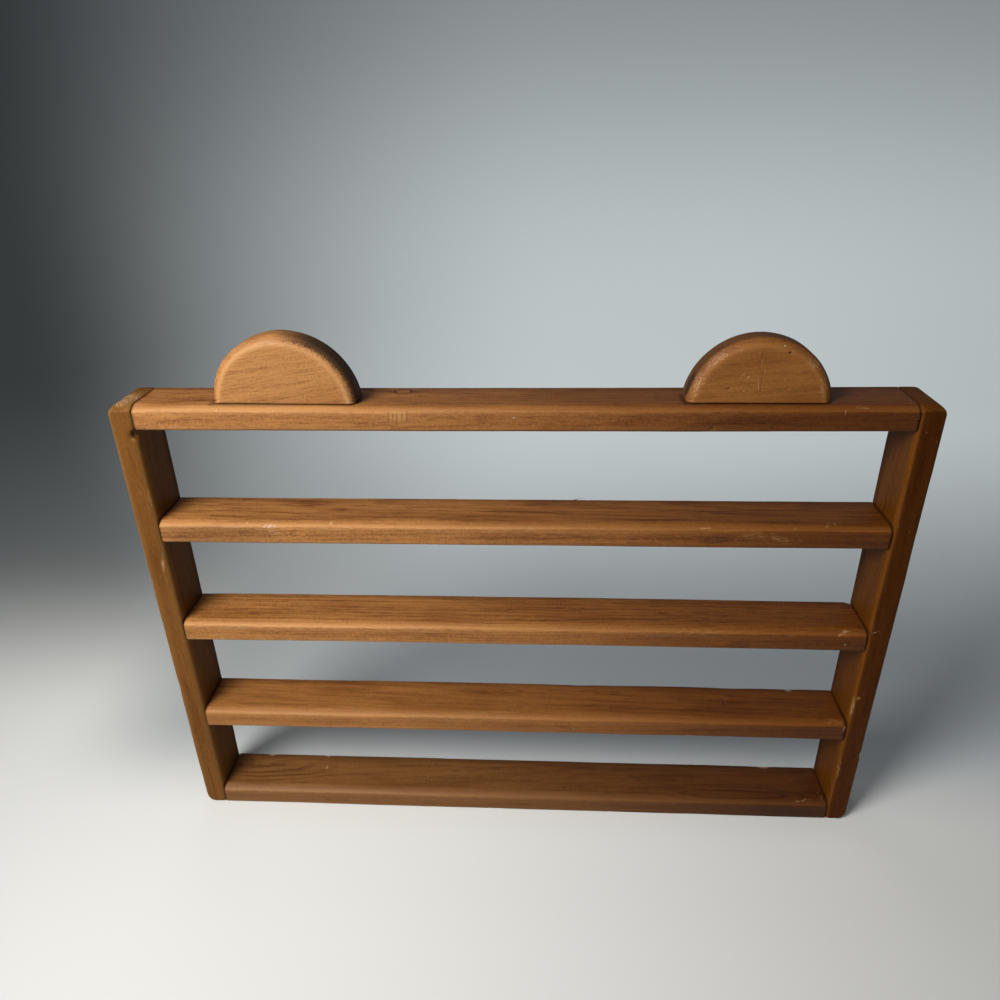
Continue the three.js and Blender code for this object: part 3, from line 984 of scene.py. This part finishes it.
MARKS = {
    "1": [
        ("pale", -248, 21, 19, 5, 3, 3), ("pale", -191.5, 21, 19, 3, 3, 3),
        ("pale", 235, 21, 19, 8, 3, 3), ("speckle", 264, -17.5, 17, 18, 4, 3, 0, 0, 6),
        ("speckle", 278, -15, 17, 5, 6, 4), ("shade", 245, FRONT, 6, 50, 4, 12),
        ("scratch", -189, 6, 19, 1.6, 5, 2, 0, 0, -12),
    ],
    "2": [
        ("chalk", 244.2, 19.5, 115, 5, 1.6, 2), ("haze", 272, -18, 113, 14, 5, 4),
        ("speckle", 281, -20.5, 109, 3, 5, 6), ("smudge", 182, 2, 115, 3, 10, 2, 0, 0, 12),
        ("smudge", 190, 10, 115, 7, 3, 3), ("smudge", 40, FRONT, 104, 12, 3, 2, 0, 12, 0),
        ("chalk", 30, -21.5, 97.5, 4, 3, 1.6), ("chalk", 150, -21.5, 97.5, 6, 3, 1.6),
    ],
    "3": [
        ("soft", 266, -20.5, 209.5, 11, 5, 2.4, 0, -14, 0),
        ("scratch", 262, -20.5, 208, 7, 5, 0.8, 0, -20, 0), ("chalk", 265.8, FRONT, 199, 1.3, 3, 1),
        ("smudge", 180, FRONT, 197, 18, 3, 5), ("haze", 150, -21, 209, 26, 6, 3),
    ],
    "4": [
        ("chalk", -197, -22, 303.6, 2.6, 4, 1.1, 0, -30, 0),
        ("chalk", -193.5, -22, 303.4, 3.4, 4, 1.2, 0, -18, 0),
        ("chalk", -189.6, -22, 303.9, 2.2, 4, 0.9, 0, -10, 0),
        ("soft", -190, FRONT, 300, 9, 4, 4, 0, 20, 0), ("pale", -145, -20.5, 306, 2.6, 4, 2.1),
        ("pale", -211.7, -20.5, 305.2, 1.8, 4, 1.2),
        ("tick", -215.5, FRONT, 298.5, 5.4, 3, 0.6, 0, -44, 0),
        ("smudge", -175, FRONT, 299, 6, 3, 2.4, 0, -30, 0), ("smudge", -140.6, 0.8, 307, 7, 4, 3),
        ("smudge", 206, -13, 307, 26, 3, 3, 0, 0, 4),
        ("scratch", 236.5, -14.6, 306.6, 4.2, 0.9, 2, 0, 0, 12),
        ("scratch", 241.2, -15.8, 306.6, 3, 0.9, 2, 0, 0, -38),
        ("scratch", 235, -18.5, 306, 3.4, 0.8, 2, 0, 0, 20), ("haze", 181, FRONT, 300, 16, 4, 6),
        ("haze", 200, FRONT, 297, 14, 4, 5, 0, 20, 0), ("shade", -235, FRONT, 297, 75, 4, 13),
        ("scratch", 145, -21.5, 304.6, 10, 4, 0.8), ("smudge", 153, FRONT, 296, 22, 3, 6, 0, -8, 0),
    ],
    "5": [
        ("pale", -218, -22, 399.4, 1.2, 3, 1), ("pale", -176.3, -22, 399.4, 1.2, 3, 1),
        ("chalk", -0.9, FRONT, 394.6, 0.9, 3, 1), ("golden", -85, FRONT, 396, 13, 3, 6),
        *[("tick", x, FRONT, z, 0.8, 3, tall, 0, 4, 0) for x, _, _, z, tall in SAW_NICKS],
        ("scratch", 231, -22, 398.6, 0.6, 4, 4.2), ("speckle", 242.5, -20, 401, 9, 5, 3),
        ("dark", 140, -22, 387, 2.4, 4, 1.6, 0, -20, 0), ("dark", 182, -22, 387, 2, 4, 1.2),
        ("golden", -185, -19.5, 401, 110, 6, 4),
    ],
}
for number, board in shelves.items():
    under = box_of(f"shelf_{number}")[0][2]
    name = f"stained_pine_shelf_{number}"
    paint(board, pine(name, LEVEL_GRAIN, underside=under, marks=MARKS[number], **SHELF_TREE[number]))

# %% Finish the uprights
# The grain runs up, so the finish turns the board on its side: its height becomes x.
SIDE_TREE = {
    "left": dict(
        heart=(45, 330), lean=(0.05, -0.04), year=3.6, seed=6.4, tone=(0.45, 0.43, 0.31),
        cut_ends=0, bold=0.5, shine=0.04,
    ),
    "right": dict(
        heart=(40, -340), lean=(-0.04, 0.05), year=3.8, seed=7.7, tone=(0.72, 0.75, 0.54),
        cut_ends=0, bold=0.6, wear_and_highlight=0.6, shine=0.05,
    ),
}
SIDE_MARKS = {
    "left": [
        ("dark", -284.2, -21.5, 380.6, 5, 6, 6), ("soft", -286.5, FRONT, 268.8, 2, 4, 13, 0, 6, 0),
        ("soft", -284.5, -21.5, 328, 1.6, 4, 12), ("soft", -292, -6, 403, 14, 24, 5),
        ("speckle", -292, -8, 402, 12, 20, 6),
    ],
    "right": [
        ("scratch", 286.8, -21.5, 143, 3.4, 4, 1.8, 0, -50, 0), ("soft", 284.2, -20.5, 133, 1.7, 3, 16),
        ("dark", 296, -22, 78, 6, 5, 1.6, 0, -16, 0), ("soft", 285, -20.5, 60, 1.8, 3, 22),
        ("scratch", 288, -22, 212, 5, 3, 0.8, 0, -24, 0),
    ],
}
for hand, board in sides.items():
    name = f"stained_pine_{hand}_upright"
    paint(board, pine(name, UPRIGHT_GRAIN, marks=SIDE_MARKS[hand], **SIDE_TREE[hand]))

# %% Finish the ears
# Their grain slopes a little, because the discs were laid out askew on the plank.
EAR_TREE = {
    "left": dict(
        heart=(30, 250), lean=(0, 0.13), year=2.6, seed=8.2, tone=(1.07, 1.16, 1.26),
        rings=0.25, bold=0.65, soaked=0.24, rubbing_and_highlight=0.35, cut_ends=0.25, wear_and_highlight=0.8, dirt_and_shade=0.7,
        # Past its rim, the right side of this ear has painted shade.
        stain_and_shade_rightward=0, rim=(-17.6, -14.8, -176, -144, 0.86),
    ),
    "right": dict(
        heart=(20, 560), lean=(0, -0.02), year=2.8, seed=9.4, tone=(0.95, 0.91, 0.74),
        rings=0.22, bold=0.5, soaked=0.30, rubbing_and_highlight=0.35, cut_ends=0.4, wear_and_highlight=0.45,
        stain_and_shade_rightward=0.36, rim=(-14.2, -9.5, -900, -800, 0.60),
    ),
}
EAR_GRAIN = {"left": (0.0, math.radians(8), 0.0), "right": (0.0, math.radians(4), 0.0)}
EAR_MARKS = {
    "left": [
        ("speckle", -223, -10, 424, 7, 9, 22), ("speckle", -206, -12, 444, 14, 9, 8, 0, -40, 0),
        ("grime_and_shade", -168, 3, 455, 34, 8, 6),
    ],
    "right": [
        ("scratch", 170.4, -15.9, 433, 0.5, 3, 7, 0, -4, 0),
        ("scratch", 170, -15.9, 418, 0.5, 3, 8, 0, -9, 0),
        ("scratch", 159, -15.9, 424.5, 3.4, 3, 0.7, 0, -38, 0),
        ("scratch", 162.5, -15.9, 422, 3, 3, 0.7, 0, -50, 0),
        ("scratch", 157.5, -15.9, 421.5, 2.2, 3, 0.6, 0, -20, 0), ("chalk", 184.8, -15, 444.3, 1, 3, 0.8),
        ("dark", 177.7, -15.5, 447, 1.8, 3, 1.2), ("dark", 188.8, -15.5, 439.8, 1.4, 3, 1.4),
        ("dark", 149.4, -15.9, 413.8, 2.6, 3, 0.8, 0, -14, 0),
        ("scratch", 140.6, -14.5, 440.5, 2.8, 4, 0.9, 0, -50, 0),
        ("scratch", 143.5, -14.5, 441.5, 2.4, 4, 0.8, 0, -62, 0),
        ("soft", 150, -15.5, 444, 12, 4, 0.9, 0, 4, 0), ("soft", 160, -15.5, 441.5, 10, 4, 0.7, 0, -3, 0),
        ("speckle", 129.5, -14.5, 416, 8, 7, 15, 0, 12, 0),
        ("speckle", 140, -14.5, 436, 8, 7, 14, 0, 42, 0),
        ("speckle", 206, -14.5, 433, 7, 6, 13, 0, -35, 0),
        ("speckle", 216, -14.5, 415, 5, 6, 12, 0, -8, 0), ("grime_and_shade", 124, -9, 418, 4, 6, 20, 0, 14, 0),
        ("grime_and_shade", 142, -8, 444, 16, 5, 5, 0, -38, 0),
    ],
}
for hand, ear in ears.items():
    name = f"worn_pine_{hand}_ear"
    paint(ear, pine(name, EAR_GRAIN[hand], marks=EAR_MARKS[hand], **EAR_TREE[hand]))

# %% [markdown]
# ## Nails and screws
#
# The nails are bright steel gone dull, freckled with rust. The screws are brass, brown with age and
# bright only where a driver has slipped. Both keep their shape from the working model, and only
# their finish changes.

# %% Finish the fasteners
def metal(name, clean, aged, roughness):
    """A metal whose ageing is a mask of two noises, rougher where it is aged."""
    finish = Finish(name, {"Metallic": 1.0}, clean)
    place = finish.places()
    patches = grains(place, (1.6, 1.6, 1.6), 3.0, 0.6)
    scratches = grains(place, (0.25, 2.4, 0.25), 2.0, 0.5)
    age = (patches * 0.7 + scratches * 0.3).rise(0.38, 0.60)
    bump = finish.node("Bump", {}, {"Strength": 0.4, "Distance": 0.0001, "Height": patches})
    finish.lay(age, aged)
    return finish.dress(
        base_color=finish.colour,
        roughness=roughness + age * 0.25 + (scratches - 0.5) * 0.2,
        metallic=1 - age * 0.45,
        normal=bump,
    )


DULL_STEEL, RUST = (0.42, 0.40, 0.38), (0.16, 0.085, 0.05)
BRIGHT_BRASS, BROWN_BRASS = (0.62, 0.45, 0.20), (0.17, 0.11, 0.05)
steel = metal("nail_steel", DULL_STEEL, RUST, 0.38)
brass = metal("screw_brass", BRIGHT_BRASS, BROWN_BRASS, 0.34)
for name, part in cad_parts.items():
    if name.startswith(("nail_", "screw_")):
        paint(part, steel if name.startswith("nail_") else brass)

# %% [markdown]
# ## The table and the light
#
# The shelf stands on a pale sheet that sweeps up behind it, as in a small studio. Painted shade
# darkens the sheet behind the shelf, at the far left and on the far floor, and its wall has a painted
# glow that only camera, glossy and transmission rays see. One broad soft lamp stands low at the front
# left: it lights the fronts more than the tops, and the left more than the right. The sky is plain
# and fills the shade, so a colour renders about as it is written.

# %% Sweep the backdrop
SWEEP_NEAR, SWEEP_BEND, SWEEP_RADIUS, SWEEP_TOP = -3.0, 1.1, 0.9, 3.2
SWEEP_HALF_WIDTH = 4.0
PAPER = (0.78, 0.79, 0.78)
# Painted shade on the sheet, and a painted glow on its wall.
SHADE_LEFT, SHADE_RIGHT, SHADE_FAR = (0.40, 0.43, 0.44), (0.53, 0.58, 0.62), (0.22, 0.24, 0.25)
GLOW_LOW, GLOW_HIGH = (0.43, 0.47, 0.48), (0.19, 0.21, 0.22)
BLACK = (0.0, 0.0, 0.0)

angle = np.linspace(0, np.pi / 2, 40)
profile = np.concatenate([
    [(SWEEP_NEAR, 0.0)],
    np.stack([SWEEP_BEND + SWEEP_RADIUS * np.sin(angle), SWEEP_RADIUS * (1 - np.cos(angle))], axis=-1),
    [(SWEEP_BEND + SWEEP_RADIUS, SWEEP_TOP)],
])
edges = (-SWEEP_HALF_WIDTH, SWEEP_HALF_WIDTH)
rows = np.array([[(x, y, z) for x in edges] for y, z in profile]).reshape(-1, 3)
steps = np.arange(len(profile) - 1) * 2
sweep_mesh = bpy.data.meshes.new("backdrop")
sweep_mesh.from_pydata(rows, [], np.stack([steps, steps + 1, steps + 3, steps + 2], axis=-1).tolist())
sweep_mesh.polygons.foreach_set("use_smooth", np.ones(len(steps), bool))
sweep = add("backdrop", sweep_mesh)
print("backdrop:", len(sweep_mesh.polygons), "faces")

paper = Finish("paper_with_painted_shade_and_glow", {"Roughness": 0.9, "Specular IOR Level": 0.2, "Emission Strength": 1.0})
aside, depth, upward = paper.node("TexCoord", {}, {}, "Object").axes()
camera_ray, glossy_ray, passing_ray = (
    paper.node("LightPath", {}, {}, kind)
    for kind in ("Is Camera Ray", "Is Glossy Ray", "Is Transmission Ray"))
seen = camera_ray.most(glossy_ray).most(passing_ray)
# Painted shadow: the floor behind the shelf is darker, except towards the front left
clear = aside.rise(-0.34, -0.52) * depth.rise(0.50, 0.05)
behind = depth.rise(-0.04, 0.10) * (1 - clear)
far = depth.rise(0.10, 1.0)
# Painted shade: darker to the left, and darker still on the far floor
near = paper.tint(aside.rise(-0.32, -0.08), SHADE_LEFT, SHADE_RIGHT)
shaded = paper.tint(far, near, SHADE_FAR)
floor_tone = paper.tint(behind, PAPER, shaded)
wall_tone = paper.tint(upward.rise(0.1, 1.0), GLOW_LOW, GLOW_HIGH)
# Painted shade: the far left corner is darker
slope = aside / (depth + 0.62)
corner = slope.rise(-0.30, -0.62) * depth.rise(0.08, 0.42)
floor_tone = paper.tint(corner * 0.45, floor_tone, BLACK)
from_middle = aside.alone("ABSOLUTE")
# Painted light: the wall glows for camera, glossy and transmission rays, dimmer to the left and a little
# to the right
dim = slope.rise(-0.68, 0.05) * 0.96 + 0.04 - slope.rise(0.2, 0.8) * 0.16
dim = dim.most(from_middle.rise(1.5, 2.4) * 0.45)
glow = paper.tint(seen * far * dim, BLACK, wall_tone)
ends = depth.rise(-2.9, -1.2) * from_middle.rise(3.9, 2.4)
sweep_mesh.materials.append(paper.dress(base_color=floor_tone, emission_color=glow, alpha=ends))

# %% Light the scene
KEY_PLACE = Vector((-0.60, -0.62, 0.92))
KEY_SIZE = 0.55
KEY_SPREAD = math.radians(110)
KEY_POWER = 6.0
SKY = (0.95, 0.98, 1.0, 1.0)
SKY_STRENGTH = 0.20
FILL_PLACE = Vector((-0.55, 1.10, 0.85))
FILL_SIZE = 0.9
FILL_POWER = 1.8
LAMP_AIM = Vector((-0.10, 0.0, 0.25))
LAMP_COLOUR = (1.0, 0.97, 0.93)


def lamp(name, place, size, power, spread, shines=True):
    """A round lamp that faces the shelf, with or without a shine of its own on what it lights."""
    made = add(name, bpy.data.lights.new(name, "AREA"))
    made.data.shape = "DISK"
    made.data.size = size
    made.data.energy = power
    made.data.spread = spread
    made.data.color = LAMP_COLOUR
    facing = (LAMP_AIM - place).to_track_quat("-Z", "Y")
    made.matrix_world = Matrix.Translation(place) @ facing.to_matrix().to_4x4()
    made.visible_camera = False
    made.visible_glossy = shines
    print(f"{name}: {power} W, {size} m across")


lamp("key_lamp", KEY_PLACE, KEY_SIZE, KEY_POWER, KEY_SPREAD)
lamp("fill_lamp", FILL_PLACE, FILL_SIZE, FILL_POWER, math.pi, shines=False)

world = bpy.data.worlds.new("studio")
world.use_nodes = True
world.node_tree.nodes["Background"].inputs["Color"].default_value = SKY
world.node_tree.nodes["Background"].inputs["Strength"].default_value = SKY_STRENGTH
bpy.context.scene.world = world
